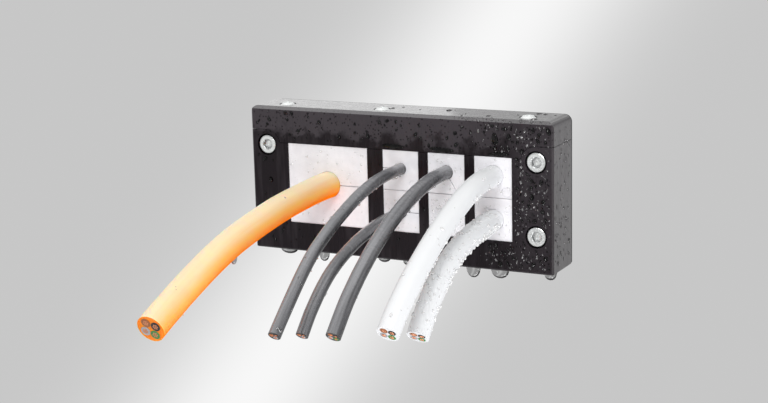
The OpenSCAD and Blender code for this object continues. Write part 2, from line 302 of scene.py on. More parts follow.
# The thread's groove has straight flanks, with a crest and a root of some width
thread_depth_share = 0.61
thread_flank = 1.6
thread_crest = 0.3
thread_tip = 0.6 * MM
rings_per_turn = 8
# The turn of each screw's socket, in degrees
mount_socket_turns = {
    "mount_screw_upper_left": 12,
    "mount_screw_upper_right": 41,
    "mount_screw_lower_left": 26,
    "mount_screw_lower_right": 3,
}

bright_zinc, tree, shader = new_finish("bright_zinc")
set_inputs(tree, shader, {
    "Base Color": tones(tree, speckle(tree, zinc_clouds, detail=4), zinc_colours),
    "Metallic": 1.0,
    "Roughness": between(tree, speckle(tree, zinc_smears, detail=3), *zinc_roughness),
    "Normal": relief(tree, speckle(tree, zinc_grains), zinc_grain_depth),
})
socket_shade_zinc, tree, shader = new_finish("socket_shade_zinc")
set_inputs(tree, shader, {
    "Base Color": tones(tree, speckle(tree, zinc_clouds, detail=4), socket_shade_colours),
    "Metallic": 1.0,
    "Roughness": between(tree, speckle(tree, zinc_smears, detail=3), *socket_roughness),
})

turns = [math.tau * i / turning_sides for i in range(turning_sides)]


def round_ring(radius, height):
    """One ring of a turned piece, as a radius and a height for each side."""
    return [(radius, height) for turn in turns]


def hexagon_ring(width, height):
    """A ring that follows a hexagon of that width across its flats."""
    sixth = math.pi / 3
    return [(width / 2 / math.cos(turn % sixth - sixth / 2), height) for turn in turns]


def knurled_ring(radius, depth, height):
    """A ring with fine teeth round its rim."""
    return [(radius - depth * (0.5 - 0.5 * math.cos(knurl_teeth * turn)), height) for turn in turns]


def thread_rings(diameter, pitch, start, end):
    """Rings whose radius follows a screw thread from one height down to another."""
    steps = round((start - end) / pitch * rings_per_turn)
    rings = []
    for step in range(steps + 1):
        height = start + (end - start) * step / steps
        ring = []
        for turn in turns:
            phase = (height / pitch - turn / math.tau) % 1
            groove = min(1, max(0, thread_flank * abs(2 * phase - 1) - thread_crest))
            runout = min(1, step / rings_per_turn, (steps - step) / rings_per_turn)
            ring.append((diameter / 2 - thread_depth_share * pitch * groove * runout, height))
        rings.append(ring)
    return rings


def head_rings(diameter, height, socket_width, socket_depth, knurl_depth, crown=0):
    """A socket head above its seat: the socket, the face, flat or crowned, and the rim."""
    socket_floor = height - socket_depth
    mouth_r = socket_width / 2 / math.cos(math.pi / 6) + socket_chamfer / 2
    face_r = diameter / 2 - head_edge_round
    edge_middle = edge_middle_share * head_edge_round
    return [
        round_ring(drill_point_r, socket_floor),
        round_ring(socket_width * drill_share, socket_floor + drill_rise),
        hexagon_ring(socket_width, socket_floor + hexagon_rise),
        hexagon_ring(socket_width, height - socket_chamfer),
        *[
            round_ring(mouth_r + (face_r - mouth_r) * share, height + crown * (1 - share**2))
            for share in face_shares
        ],
        round_ring(diameter / 2 - edge_middle, height - edge_middle),
        round_ring(diameter / 2, height - head_edge_round),
        knurled_ring(diameter / 2, knurl_depth, height - knurl_top_share * head_edge_round),
        knurled_ring(diameter / 2, knurl_depth, knurl_foot),
        round_ring(diameter / 2 - head_undercut, 0),
    ]


def turned_mesh(name, rings):
    """A closed mesh through rings round the z axis, from the socket's floor to the tip."""
    shape = bmesh.new()
    rows = [
        [shape.verts.new((r * math.cos(t), r * math.sin(t), z)) for t, (r, z) in zip(turns, ring)]
        for ring in rings
    ]
    for level, (upper, lower) in enumerate(zip(rows, rows[1:])):
        for i in range(turning_sides):
            after = (i + 1) % turning_sides
            face = shape.faces.new((upper[after], upper[i], lower[i], lower[after]))
            # The socket's walls take the second finish, which on the mounting screws is painted shade
            face.material_index = int(0 < level < socket_rings)
    shape.faces.new(rows[0])
    shape.faces.new(reversed(rows[-1]))
    data = mesh_from(name, shape)
    data.set_sharp_from_angle(angle=corner_angle)
    return data


def add_screw(node, rings, finish, socket_finish, seat):
    """A turned screw in its seat, with a finish of its own on its socket's walls, which can carry painted
    shade, in place of the node.
    """
    screw = new_piece(node + "_turned", turned_mesh(node + "_mesh", rings), finish)
    screw.data.materials.append(socket_finish)
    screw.matrix_world = seat
    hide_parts(node)


facing_front = Matrix.Rotation(math.radians(90), 4, "X")
for node, socket_turn in mount_socket_turns.items():
    low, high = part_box(node)
    length = high.y - low.y - mount_head_height
    neck_length = -(low.y + mount_head_height)
    rings = head_rings(
        mount_head_d, mount_head_height, mount_socket_width, mount_socket_depth, mount_knurl_depth
    )
    rings += [round_ring(mount_neck_d / 2, 0), round_ring(mount_neck_d / 2, -neck_length)]
    rings += thread_rings(mount_thread_d, mount_pitch, -neck_length, thread_tip - length)
    rings.append(round_ring(mount_thread_d / 2 - thread_tip, -length))
    seat = Matrix.Translation(((low.x + high.x) / 2, low.y + mount_head_height, (low.z + high.z) / 2))
    seat = seat @ facing_front @ Matrix.Rotation(math.radians(socket_turn), 4, "Z")
    add_screw(node, rings, bright_zinc, socket_shade_zinc, seat)


# Grommets
# One large and six small blocks of pale grey elastomer, each with a flange in the
# frame's grooves. All but one have a bore and a slit, pushed over a cable from the side.
grommet_edge_round = 0.12 * MM
grommet_colours = ((0.77, 0.76, 0.79), (0.86, 0.85, 0.88))
grommet_roughness = (0.34, 0.6)
grommet_shine = 0.45
grommet_clouds = 220
grommet_smears = 160
grommet_grains = 900
grommet_grain_depth = 0.04 * MM
grommets = [
    "large_grommet",
    "grommet_1_upper",
    "grommet_1_lower",
    "grommet_2_upper",
    "grommet_2_blank",
    "grommet_3_upper",
    "grommet_3_lower",
]

pale_elastomer, tree, shader = new_finish("pale_elastomer")
set_inputs(tree, shader, {
    "Base Color": tones(tree, speckle(tree, grommet_clouds, detail=5), grommet_colours),
    "Roughness": between(tree, speckle(tree, grommet_smears, detail=4), *grommet_roughness),
    "Normal": relief(tree, speckle(tree, grommet_grains, detail=4), grommet_grain_depth),
    "Specular IOR Level": grommet_shine,
})
for node in grommets:
    softened(node, grommet_edge_round, pale_elastomer)


# Cables
# Six round cables that the grommets grip: an orange power cable, three black leads
# and two white ones. Each is a cut length that hangs forward and down from its bore.
cable_tail_y = 6 * MM
# Each sheath: its colours from below to above, painted shade below and painted light above, how rough,
# shiny and translucent it is, the film of water on its lower and upper side, and how far streaks shift
# its colours
sheath_looks = {
    "orange_sheath": {
        "colours": ((1.0, 0.15, 0.004), (1.0, 0.46, 0.115), (1.0, 0.74, 0.46)),
        "roughness": (0.32, 0.42),
        "shine": 0.0,
        "translucence": 0.8,
        "film": (0.0, 0.6),
        "streak": 0.05,
    },
    "black_sheath": {
        "colours": ((0.008, 0.008, 0.009), (0.04, 0.04, 0.044), (0.21, 0.21, 0.222)),
        "roughness": (0.2, 0.32),
        "shine": 0.5,
        "translucence": 0.0,
        "film": (0.3, 1.0),
        "streak": 0.22,
    },
    "white_sheath": {
        "colours": ((0.76, 0.77, 0.79), (0.79, 0.8, 0.82), (0.82, 0.83, 0.84)),
        "roughness": (0.3, 0.5),
        "shine": 0.4,
        "translucence": 0.0,
        "film": (0.0, 0.3),
        "streak": 0.1,
    },
}
# How far a face points down or up, from the painted shade below to the painted light above; the film of
# water follows it too
sheath_upper_span = (-0.6, 0.9)
sheath_streak_squeeze = (1, 0.03, 0.03)
sheath_streaks = 900
sheath_clouds = 320
sheath_grains = 1800
sheath_grain_depth = 0.006 * MM
sheath_light_reach = (4.5 * MM, 1.6 * MM, 0.5 * MM)
sheath_film_span = (0.3, 1)
sheath_film_roughness = 0.3
sheath_round_steps = 8
sheath_line_steps = 6
core_colours = ((0.02, 0.02, 0.022), (0.35, 0.12, 0.04), (0.4, 0.4, 0.42), (0.05, 0.25, 0.06))
core_shade = 0.8
core_roughness = (0.4, 0.55)
core_clouds = 3000
core_smears = 2500
copper_colours = ((0.62, 0.25, 0.13), (0.86, 0.42, 0.25))
copper_roughness = (0.25, 0.4)
# For three or four cores: a core's radius and its distance from the middle, as shares of the diameter
core_shares = {3: (0.19, 0.23), 4: (0.17, 0.25)}
core_sides = 16
core_first_turn = 0.3
core_proud = 0.12 * MM
strands = 7
strand_share = 0.2
strand_spacing = 2.1
strand_sides = 6
strand_proud = 0.22 * MM
stub_root = 0.5 * MM
stub_edge_share = 0.6
stub_end_share = 0.85
# Each cable: its sheath, its grommet, its diameter in millimetres, its number of cores, and its
# route as the distance out from the grommet's face and the drop, in millimetres
cables = {
    "cable_orange": ("orange_sheath", "large_grommet", 11.8, 4, [
        (0, 0), (8, 0), (16, 0.2), (24, 0.6), (34, 1.2), (44, 2), (54, 3.2), (64, 4.6), (74, 6.2),
        (84, 8.2), (94, 10.8), (104, 13.8), (112, 16.5), (120, 19.3), (127, 22), (134, 24.7),
        (141, 27.6),
    ]),
    "cable_black_1_upper": ("black_sheath", "grommet_1_upper", 5.2, 3, [
        (0, 0), (6, 0), (12, 0.1), (18, 0.4), (24, 1), (32, 2.3), (40, 4.1), (48, 6.4), (56, 9.1),
        (64, 12), (72, 15.4), (79, 18.8), (85, 22.6), (91, 27), (97, 31.8), (107, 40.2), (111.5, 44.2),
    ]),
    "cable_black_1_lower": ("black_sheath", "grommet_1_lower", 5.2, 3, [
        (0, 0), (6, 0), (12, 0.1), (18, 0.3), (24, 0.8), (30, 1.5), (36, 2.4), (42, 3.5), (48, 5),
        (54, 6.7), (60, 8.8), (66, 11.4), (71, 14.2), (75.5, 17.2), (80, 20.7), (84, 24.1), (90.5, 30.8),
    ]),
    "cable_black_2_upper": ("black_sheath", "grommet_2_upper", 6.2, 4, [
        (0, 0), (6, 0), (12, 0.2), (18, 0.8), (24, 1.7), (30, 2.9), (36, 4.4), (42, 6.1), (48, 8.1),
        (54, 10.4), (60, 12.9), (66, 15.7), (72, 18.9), (78, 22.5), (84, 26.4), (94, 34), (104.5, 44),
    ]),
    "cable_white_3_upper": ("white_sheath", "grommet_3_upper", 9.2, 4, [
        (0, 0), (6, 0), (12, 0.2), (18, 0.9), (24, 2), (30, 3.5), (36, 5.4), (42, 7.5), (48, 9.8),
        (54, 12.3), (60, 15), (66, 17.9), (72, 21), (78, 24.3), (84, 27.9), (94, 34.8), (101.5, 41.2),
    ]),
    "cable_white_3_lower": ("white_sheath", "grommet_3_lower", 9.2, 4, [
        (0, 0), (5, 0), (10, 0.2), (15, 0.6), (20, 1.1), (25, 1.8), (30, 2.7), (35, 3.8), (40, 5.2),
        (45, 7), (50, 9.3), (54, 11.6), (58, 14.2), (62, 17.1), (66, 20.3), (72.5, 26.4), (76, 30.4),
    ]),
}


def sheath_finish(name, colours, roughness, shine, translucence, film, streak):
    """Extruded sheath: streaky along its length, with painted light above and painted shade below, and
    filmed with water.
    """
    finish, tree, shader = new_finish(name)
    upward = between(tree, facing(tree, "Z"), 0, 1, *sheath_upper_span)
    streaks = drawn_speckle(tree, sheath_streak_squeeze, sheath_streaks, detail=5)
    # Painted light and shade: faces that point up take the paler colours and faces that point down the
    # darker ones, shifted by the streaks
    painted_light_and_streaks = combine(tree, "ADD", upward, between(tree, streaks, -streak, streak))
    set_inputs(tree, shader, {
        "Base Color": tones(tree, painted_light_and_streaks, colours, 0, 1),
        "Roughness": between(tree, speckle(tree, sheath_clouds, detail=4), *roughness),
        "Normal": relief(tree, speckle(tree, sheath_grains, detail=3), sheath_grain_depth),
        "Subsurface Weight": translucence,
        "Subsurface Radius": sheath_light_reach,
        "Subsurface Scale": 1.0,
        "Specular IOR Level": shine,
        "Coat Weight": between(tree, upward, *film, *sheath_film_span),
        "Coat Roughness": sheath_film_roughness,
    })
    return finish


def core_finish(name, colours, metallic, roughness):
    """Insulation or copper on a cut end."""
    finish, tree, shader = new_finish(name)
    set_inputs(tree, shader, {
        "Base Color": tones(tree, speckle(tree, core_clouds), colours),
        "Metallic": metallic,
        "Roughness": between(tree, speckle(tree, core_smears), *roughness),
    })
    return finish


core_finishes = []
for number, colour in enumerate(core_colours, start=1):
    shaded = [core_shade * c for c in colour]
    core_finishes.append(
        core_finish("core_insulation_%d" % number, (shaded, colour), 0.0, core_roughness)
    )
copper = core_finish("cut_copper", copper_colours, 1.0, copper_roughness)


def cable_curve(node, points, diameter):
    """A round sheath along one smooth line through the points."""
    curve = bpy.data.curves.new(node + "_line", "CURVE")
    curve.dimensions = "3D"
    curve.bevel_depth = diameter / 2
    curve.bevel_resolution = sheath_round_steps
    curve.resolution_u = sheath_line_steps
    curve.use_fill_caps = True
    spline = curve.splines.new("BEZIER")
    spline.bezier_points.add(len(points) - 1)
    for i, knot in enumerate(spline.bezier_points):
        before = points[max(i - 1, 0)]
        after = points[min(i + 1, len(points) - 1)]
        heading = (after - before).normalized()
        knot.handle_left_type = "FREE"
        knot.handle_right_type = "FREE"
        knot.co = points[i]
        knot.handle_left = points[i] - heading * (points[i] - before).length / 3
        knot.handle_right = points[i] + heading * (after - points[i]).length / 3
    return curve


def bridge_rows(shape, rows):
    """Faces round a shape from each row of corners to the next."""
    faces = []
    for row, next_row in zip(rows, rows[1:]):
        for k in range(len(row)):
            after = (k + 1) % len(row)
            faces.append(shape.faces.new((row[k], row[after], next_row[after], next_row[k])))
    return faces


def add_stub(shape, place, outward, radius, sides, proud, finish_index):
    """A short bevelled pin that stands a little out of a cable's cut end."""
    turn_to = outward.to_track_quat("Z", "Y").to_matrix()
    rows = []
    for share, height in ((1, -stub_root), (1, stub_edge_share * proud), (stub_end_share, proud)):
        row = []
        for k in range(sides):
            turn = math.tau * k / sides
            corner = Vector((share * radius * math.cos(turn), share * radius * math.sin(turn), height))
            row.append(shape.verts.new(place + turn_to @ corner))
        rows.append(row)
    faces = [shape.faces.new(reversed(rows[0])), shape.faces.new(rows[-1])]
    for face in faces + bridge_rows(shape, rows):
        face.material_index = finish_index


def cut_ends(node, points, diameter, cores):
    """The insulated cores and their copper strands at both ends of a cable."""
    shape = bmesh.new()
    core_share, ring_share = core_shares[cores]
    core_r = diameter * core_share
    ring_r = diameter * ring_share
    strand_r = core_r * strand_share
    for end, inner in ((points[0], points[1]), (points[-1], points[-2])):
        outward = (end - inner).normalized()
        turn_to = outward.to_track_quat("Z", "Y").to_matrix()
        for core in range(cores):
            angle = math.tau * (core + core_first_turn) / cores
            middle = end + turn_to @ Vector((ring_r * math.cos(angle), ring_r * math.sin(angle), 0))
            add_stub(shape, middle, outward, core_r, core_sides, core_proud, core)
            for strand in range(strands):
                step = 0 if strand == 0 else strand_spacing * strand_r
                around = math.pi / 3 * strand
                offset = Vector((step * math.cos(around), step * math.sin(around), 0))
                strand_place = middle + turn_to @ offset
                add_stub(
                    shape, strand_place, outward, strand_r, strand_sides, strand_proud, len(core_finishes)
                )
    data = mesh_from(node + "_cores_mesh", shape, smooth=False)
    piece = new_piece(node + "_cores", data, core_finishes[0])
    for finish in [*core_finishes[1:], copper]:
        data.materials.append(finish)
    return piece


sheaths = {name: sheath_finish(name, **look) for name, look in sheath_looks.items()}
cable_radii = {}
bore_radii = {}
for node, (sheath, grommet, diameter_mm, cores, route) in cables.items():
    diameter = diameter_mm * MM
    cable_radii[node] = diameter / 2
    bore_radii[grommet] = diameter / 2
    low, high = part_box(node)
    exit_point = Vector(((low.x + high.x) / 2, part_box(grommet)[0].y, high.z - diameter / 2))
    line = [Vector((exit_point.x, cable_tail_y, exit_point.z))]
    line += [exit_point - Vector((0, out * MM, drop * MM)) for out, drop in route]
    cable = new_piece(node + "_sheath", cable_curve(node, line, diameter), sheaths[sheath])
    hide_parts(node)
    ends = cut_ends(node, line, diameter, cores)


# Cover bar
# The upper moulding of the same nylon. It closes the comb, steps up over the
# screws' shoulders and presses on the upper grommets.
softened("cover_bar", moulded_edge_round, wet_nylon)


# Cover screws
# Three zinc-plated screws, dulled by white bloom, with low crowned socket heads in pockets
# of the cover's top. Their coarse threads form their own way into the comb frame's nylon.
dull_zinc_colours = ((0.82, 0.84, 0.83), (0.93, 0.94, 0.94))
dull_zinc_metal = (0.35, 0.65)
dull_zinc_patches = 900
dull_zinc_roughness = (0.5, 0.65)
cover_head_d = 7 * MM
cover_head_height = 2.8 * MM
cover_head_crown = 0.8 * MM
cover_socket_width = 3 * MM
cover_socket_depth = 1.6 * MM
cover_knurl_depth = 0.06 * MM
cover_thread_d = 3.5 * MM
cover_thread_start = -0.2 * MM
cover_pitch = 1.3 * MM

dull_zinc, tree, shader = new_finish("dull_zinc")
set_inputs(tree, shader, {
    "Base Color": tones(tree, speckle(tree, zinc_clouds, detail=4), dull_zinc_colours),
    "Metallic": between(tree, speckle(tree, dull_zinc_patches, detail=3), *dull_zinc_metal),
    "Roughness": between(tree, speckle(tree, zinc_smears, detail=3), *dull_zinc_roughness),
    "Normal": relief(tree, speckle(tree, zinc_grains), zinc_grain_depth),
})
for node in ["cover_screw_left", "cover_screw_middle", "cover_screw_right"]:
    low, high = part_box(node)
    length = high.z - low.z - cover_head_height
    rings = head_rings(
        cover_head_d, cover_head_height, cover_socket_width, cover_socket_depth, cover_knurl_depth,
        cover_head_crown,
    )
    rings.append(round_ring(cover_thread_d / 2, 0))
    rings += thread_rings(cover_thread_d, cover_pitch, cover_thread_start, thread_tip - length)
    rings.append(round_ring(cover_thread_d / 2 - thread_tip, -length))
    seat = Matrix.Translation(
        ((low.x + high.x) / 2, (low.y + high.y) / 2, high.z - cover_head_height)
    )
    add_screw(node, rings, dull_zinc, dull_zinc, seat)


# Rain
# Drops of rain that stand on the plate, its grommets and its cables, run down the
# front and hang from the lower edge. They are closest at the right end.
rain = random.Random(24)
water_shade = 0.9
water_clouds = 400
water_ripples = 800
water_roughness = (0.0, 0.05)
water_ior = 1.333
bead_sides = 14
bead_sink = 0.04 * MM
bead_levels = [(math.cos(slope), math.sin(slope)) for slope in (0, 0.5, 0.95, 1.3)]
bead_swell = (0.04, 0.14)
bead_lobe_share = 0.6
bead_sag_share = 0.12
bead_lean = 0.8
small_drop_bias = 2.2
left_face, front_face, foot_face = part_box("comb_frame")[0]
right_face, back_face, top_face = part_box("cover_bar")[1]
front = Vector((0, -1, 0))
right = Vector((1, 0, 0))
down = Vector((0, 0, -1))


def water_finish(name, clearness, tint):
    """Still water, with a faint unevenness on its skin."""
    finish, tree, shader = new_finish(name)
    colours = ([water_shade * tint] * 3, [tint] * 3)
    set_inputs(tree, shader, {
        "Base Color": tones(tree, speckle(tree, water_clouds), colours),
        "Roughness": between(tree, speckle(tree, water_ripples), *water_roughness),
        "IOR": water_ior,
        "Transmission Weight": clearness,
    })
    return finish


clear_water = water_finish("clear_water", clearness=1.0, tint=1.0)
dark_water = water_finish("water_over_nylon", clearness=1.0, tint=0.12)
pale_water = water_finish("pale_water", clearness=0.3, tint=1.0)
# The fine spray is milky: its white share is painted glints on the drops
fine_water_painted_glints = water_finish("fine_water_painted_glints", clearness=0.84, tint=1.0)
# The hanging drops are tinted grey: painted shade in what shows through them
hanging_water_painted_shade = water_finish("hanging_water_painted_shade", clearness=1.0, tint=0.5)


def close_drop(shape, rows, peak):
    """Faces round a drop's rows of corners and on to its peak."""
    bridge_rows(shape, rows)
    for k, corner in enumerate(rows[-1]):
        shape.faces.new((corner, rows[-1][(k + 1) % len(rows[-1])], peak))


def add_bead(shape, place, normal, downhill, width, length, height):
    """A closed drop that stands on a surface, sags downhill and is uneven round its foot."""
    across = normal.cross(downhill)
    swell = rain.uniform(*bead_swell)
    oval_turn = rain.uniform(0, math.tau)
    lobe_turn = rain.uniform(0, math.tau)
    sag = bead_sag_share * length
    rows = []
    for spread, rise in bead_levels:
        row = []
        for k in range(bead_sides):
            turn = math.tau * k / bead_sides
            oval = swell * math.cos(2 * turn + oval_turn)
            lobe = 1 + oval + bead_lobe_share * swell * math.cos(3 * turn + lobe_turn)
            row.append(shape.verts.new(
                place
                + across * (width / 2 * spread * lobe * math.cos(turn))
                + downhill * (length / 2 * spread * lobe * math.sin(turn) + sag * rise)
                + normal * (height * rise - bead_sink)
            ))
        rows.append(row)
    peak = shape.verts.new(place + downhill * sag + normal * (height - bead_sink))
    close_drop(shape, rows, peak)
    shape.faces.new(reversed(rows[0]))


def bead_size(smallest, largest):
    """Many drops are small and few are large."""
    return smallest + (largest - smallest) * rain.random() ** small_drop_bias


def water_piece(name, shape, finish):
    """The drops on one carrier as one piece."""
    bmesh.ops.recalc_face_normals(shape, faces=shape.faces)
    new_piece(name, mesh_from(name, shape), finish)


def scatter(shape, corner, across, downhill, chance, taken, tries, sizes, flatness, stretch):
    """Drops over a flat rectangle from its corner, clear of those taken, kept by their chance."""
    normal = downhill.normalized().cross(across.normalized())
    for attempt in range(tries):
        place = corner + across * rain.random() + downhill * rain.random()
        width = bead_size(*sizes)
        length = width * rain.uniform(1, stretch)
        if rain.random() > chance(place, length / 2):
            continue
        if any((place - other).length < (length + size) / 2 for other, size in taken):
            continue
        taken.append((place, length))
        lean = Matrix.Rotation(rain.uniform(-bead_lean, bead_lean), 3, normal)
        add_bead(shape, place, normal, lean @ downhill.normalized(), width, length, width * flatness)


# On the front, drops keep clear of windows and screws and are closest at the right end
front_drops = {"tries": 2000, "sizes": (0.6 * MM, 2.2 * MM), "flatness": 0.5, "stretch": 1.6}
front_spray = {"tries": 3600, "sizes": (0.35 * MM, 1.3 * MM), "flatness": 0.5, "stretch": 2.4}
front_corner = Vector((left_face + 1.5 * MM, front_face, top_face - 2.5 * MM))
front_across = right * 142.6 * MM
front_down = down * 61.5 * MM
screw_clearance = 5.4 * MM
wet_end_x = 42 * MM
spray_end_x = 36 * MM
cover_foot_z = 17 * MM
cover_chance = 0.3
lower_chance = 0.1
# Large flat drops on the front: place across and up, width and height in millimetres
front_pools = [
    (21.8, 18.8, 11.5, 2.5),
    (48.4, 18.6, 9.5, 2),
    (-1.5, 19, 11, 2.2),
    (46.6, 25, 3.2, 5.2),
    (51, 29.5, 2.8, 1.8),
]
pool_depth = 0.6 * MM
window_boxes = [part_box(node) for node in grommets]
screw_places = [(a + b) / 2 for a, b in (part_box(node) for node in mount_socket_turns)]


def front_chance(place, reach):
    """No drop stands over a window or a screw, and most stand on the cover and the right end."""
    for low, high in window_boxes:
        if low.x - reach < place.x < high.x + reach and low.z - reach < place.z < high.z + reach:
            return 0
    for middle in screw_places:
        if math.hypot(place.x - middle.x, place.z - middle.z) < screw_clearance + reach:
            return 0
    if place.x > wet_end_x:
        return 1
    return cover_chance if place.z > cover_foot_z else lower_chance


def spray_chance(place, reach):
    """Fine drops stand only towards the right end."""
    return front_chance(place, reach) * (place.x > spray_end_x)


shape = bmesh.new()
wet_places = []
for x, z, width, height in front_pools:
    pool = Vector((x * MM, front_face, z * MM))
    add_bead(shape, pool, front, down, width * MM, height * MM, pool_depth)
    for step in (-width / 3, 0, width / 3):
        wet_places.append((Vector(((x + step) * MM, front_face, z * MM)), height * MM))
scatter(shape, front_corner, front_across, front_down, front_chance, wet_places, **front_drops)
water_piece("water_on_front", shape, dark_water)
shape = bmesh.new()
scatter(shape, front_corner, front_across, front_down, spray_chance, wet_places, **front_spray)
water_piece("spray_on_front", shape, fine_water_painted_glints)

# On the top, flat drops lie over the whole cover, and a row of drops stands along its front edge
top_drops = {"tries": 60, "sizes": (0.8 * MM, 2.8 * MM), "flatness": 0.18, "stretch": 1.3}
top_corner = Vector((left_face + 3 * MM, back_face - 2 * MM, top_face))
top_across = right * 139 * MM
top_forward = front * 15 * MM
top_middle_chance = 0.3
top_chance_rise = 8
edge_drops = {"tries": 150, "sizes": (0.6 * MM, 1.9 * MM), "flatness": 0.45, "stretch": 1.4}
top_bevel = 1.4 * MM
edge_corner = Vector((27 * MM, front_face + top_bevel, top_face))
edge_across = right * 44 * MM
edge_gap = (48 * MM, 66 * MM)
edge_chance = 0.8
edge_gap_chance = 0.15


def top_chance(place, reach):
    """The cover's top is wetter towards the right."""
    return top_middle_chance + top_chance_rise * place.x


def edge_row_chance(place, reach):
    """The row along the front edge has a stretch with few drops."""
    return edge_gap_chance if edge_gap[0] < place.x < edge_gap[1] else edge_chance


shape = bmesh.new()
scatter(shape, top_corner, top_across, top_forward, top_chance, [], **top_drops)
scatter(shape, edge_corner, edge_across, (front + down) * top_bevel, edge_row_chance, [], **edge_drops)
water_piece("water_on_top", shape, clear_water)

# On both ends, drops run down the flat faces
side_drops = {"tries": 220, "sizes": (0.3 * MM, 1.4 * MM), "flatness": 0.35, "stretch": 2.6}
side_inset = 1.5 * MM
side_top = top_face - 4 * MM
side_depth_mm = 18
side_down = down * 58 * MM
side_even_chance = 0.7


def side_chance(place, reach):
    """Drops are spread evenly over an end."""
    return side_even_chance


shape = bmesh.new()
right_corner = Vector((right_face, front_face + side_inset, side_top))
left_corner = Vector((left_face, back_face - side_inset, side_top))
for corner, along in ((right_corner, -front), (left_corner, front)):
    scatter(shape, corner, along * side_depth_mm * MM, side_down, side_chance, [], **side_drops)
water_piece("water_on_sides", shape, clear_water)

# For each grommet: how many drops are tried on its face
grommet_rain = {
    "large_grommet": 110,
    "grommet_1_lower": 30,
    "grommet_2_upper": 40,
    "grommet_2_blank": 340,
    "grommet_3_upper": 40,
    "grommet_3_lower": 60,
}
grommet_drops = {"sizes": (0.25 * MM, 1.1 * MM), "flatness": 0.35, "stretch": 1.2}
grommet_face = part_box("large_grommet")[0].y
grommet_side_inset = 2 * MM
grommet_top_inset = 2.5 * MM
grommet_width_inset = 4 * MM
grommet_height_inset = 4.5 * MM
bore_clearance = 0.5 * MM


def clear_of_bore(middle, bore_r):
    """The chance of a drop on a grommet's face, which is none over the cable."""
    def chance(place, reach):
        return math.hypot(place.x - middle.x, place.z - middle.z) > bore_r + reach + bore_clearance
    return chance


shape = bmesh.new()
for node, tries in grommet_rain.items():
    low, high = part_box(node)
    corner = Vector((low.x + grommet_side_inset, grommet_face, high.z - grommet_top_inset))
    across = right * (high.x - low.x - grommet_width_inset)
    downhill = down * (high.z - low.z - grommet_height_inset)
    chance = clear_of_bore((low + high) / 2, bore_radii.get(node, 0))
    scatter(shape, corner, across, downhill, chance, [], tries=tries, **grommet_drops)
water_piece("water_on_grommets", shape, pale_water)

# For each cable: how many drops, the least and greatest width in millimetres, and the share underneath
cable_rain = {
    "cable_orange": (14, 0.4, 1.2, 0.6),
    "cable_black_1_upper": (60, 0.4, 1.5, 0.3),
    "cable_black_1_lower": (30, 0.4, 1.1, 0.3),
    "cable_black_2_upper": (50, 0.4, 1.4, 0.2),
    "cable_white_3_upper": (220, 0.4, 1.6, 0.8),
    "cable_white_3_lower": (560, 0.4, 1.6, 0.35),
}
cable_place_steps = 7
cable_dry_steps = 4
cable_drop_stretch = 1.4
cable_drop_flatness = 0.4
cable_hang_flatness = 0.55
cable_hang_slope = -0.5
level_slope = 0.2


def cable_places(node):
    """Close points along a cable's drawn line, in front of its grommet."""
    knots = bpy.data.objects[node + "_sheath"].data.splines[0].bezier_points
    points = []
    for a, b in zip(knots[1:], knots[2:]):
        points += interpolate_bezier(a.co, a.handle_right, b.handle_left, b.co, cable_place_steps)[:-1]
    return points


for node, (count, smallest, largest, underneath) in cable_rain.items():
    points = cable_places(node)
    shape = bmesh.new()
    for drop in range(count):
        step = rain.randrange(cable_dry_steps, len(points) - 1)
        share = rain.random()
        middle = points[step].lerp(points[step - 1], share)
        heading = (points[step] - points[step - 1]).normalized()
        above = right.cross(heading)
        above = above if above.z > 0 else -above
        if rain.random() < underneath:
            angle = rain.uniform(-math.pi, 0)
        else:
            angle = rain.uniform(-math.pi, math.pi)
        normal = right * math.cos(angle) + above * math.sin(angle)
        downhill = down - normal * down.dot(normal)
        downhill = heading if downhill.length < level_slope else downhill.normalized()
        width = bead_size(smallest, largest) * MM
        length = width * rain.uniform(1, cable_drop_stretch)
        flatness = cable_hang_flatness if normal.z < cable_hang_slope else cable_drop_flatness
        foot = middle + normal * cable_radii[node]
        add_bead(shape, foot, normal, downhill, width, length, width * flatness)
    water_piece("water_on_" + node, shape, pale_water if "white" in node else clear_water)

# Drops that hang from the lower edge: place along the plate, width and height in millimetres
hanging_drops = [
    (-57.6, 9, 2.8),
    (-39.4, 5.4, 4.8),
    (-8.9, 6.2, 2.4),
    (2.2, 3.4, 2.6),
    (34.3, 6.8, 5.2),
    (46.8, 8.6, 4.4),
    (69.9, 5.5, 3),
]
hanging_inset = 4 * MM
hanging_depth = 4 * MM
hanging_sides = 24
# A hanging drop's outline: its spread and its level, as shares of half its width and of its height
hanging_profile = ((1.08, 0.12), (1, 0), (0.97, -0.25), (0.86, -0.55), (0.62, -0.82), (0.32, -0.96))
# One drop hangs below the orange cable
cable_drop_place = Vector((-34.2, -103.4, -14)) * MM
cable_drop_width = 3 * MM
cable_drop_height = 3.6 * MM


def add_hanging_drop(shape, place, width, depth, height):
    """A drop that hangs from a lower edge, round below and wide where it clings."""
    rows = []
    for spread, level in hanging_profile:
        row = []
        for k in range(hanging_sides):
            turn = math.tau * k / hanging_sides
            row.append(shape.verts.new(place + Vector((
                width / 2 * spread * math.cos(turn),
                depth / 2 * spread * math.sin(turn),
                height * level,
            ))))
        rows.append(row)
    tip = shape.verts.new(place - Vector((0, 0, height)))
    close_drop(shape, rows, tip)
    shape.faces.new(rows[0])


shape = bmesh.new()
for x, width, height in hanging_drops:
    edge_place = Vector((x * MM, front_face + hanging_inset, foot_face))
    add_hanging_drop(shape, edge_place, width * MM, hanging_depth, height * MM)
add_hanging_drop(shape, cable_drop_place, cable_drop_width, cable_drop_width, cable_drop_height)
water_piece("drops_under_plate", shape, hanging_water_painted_shade)


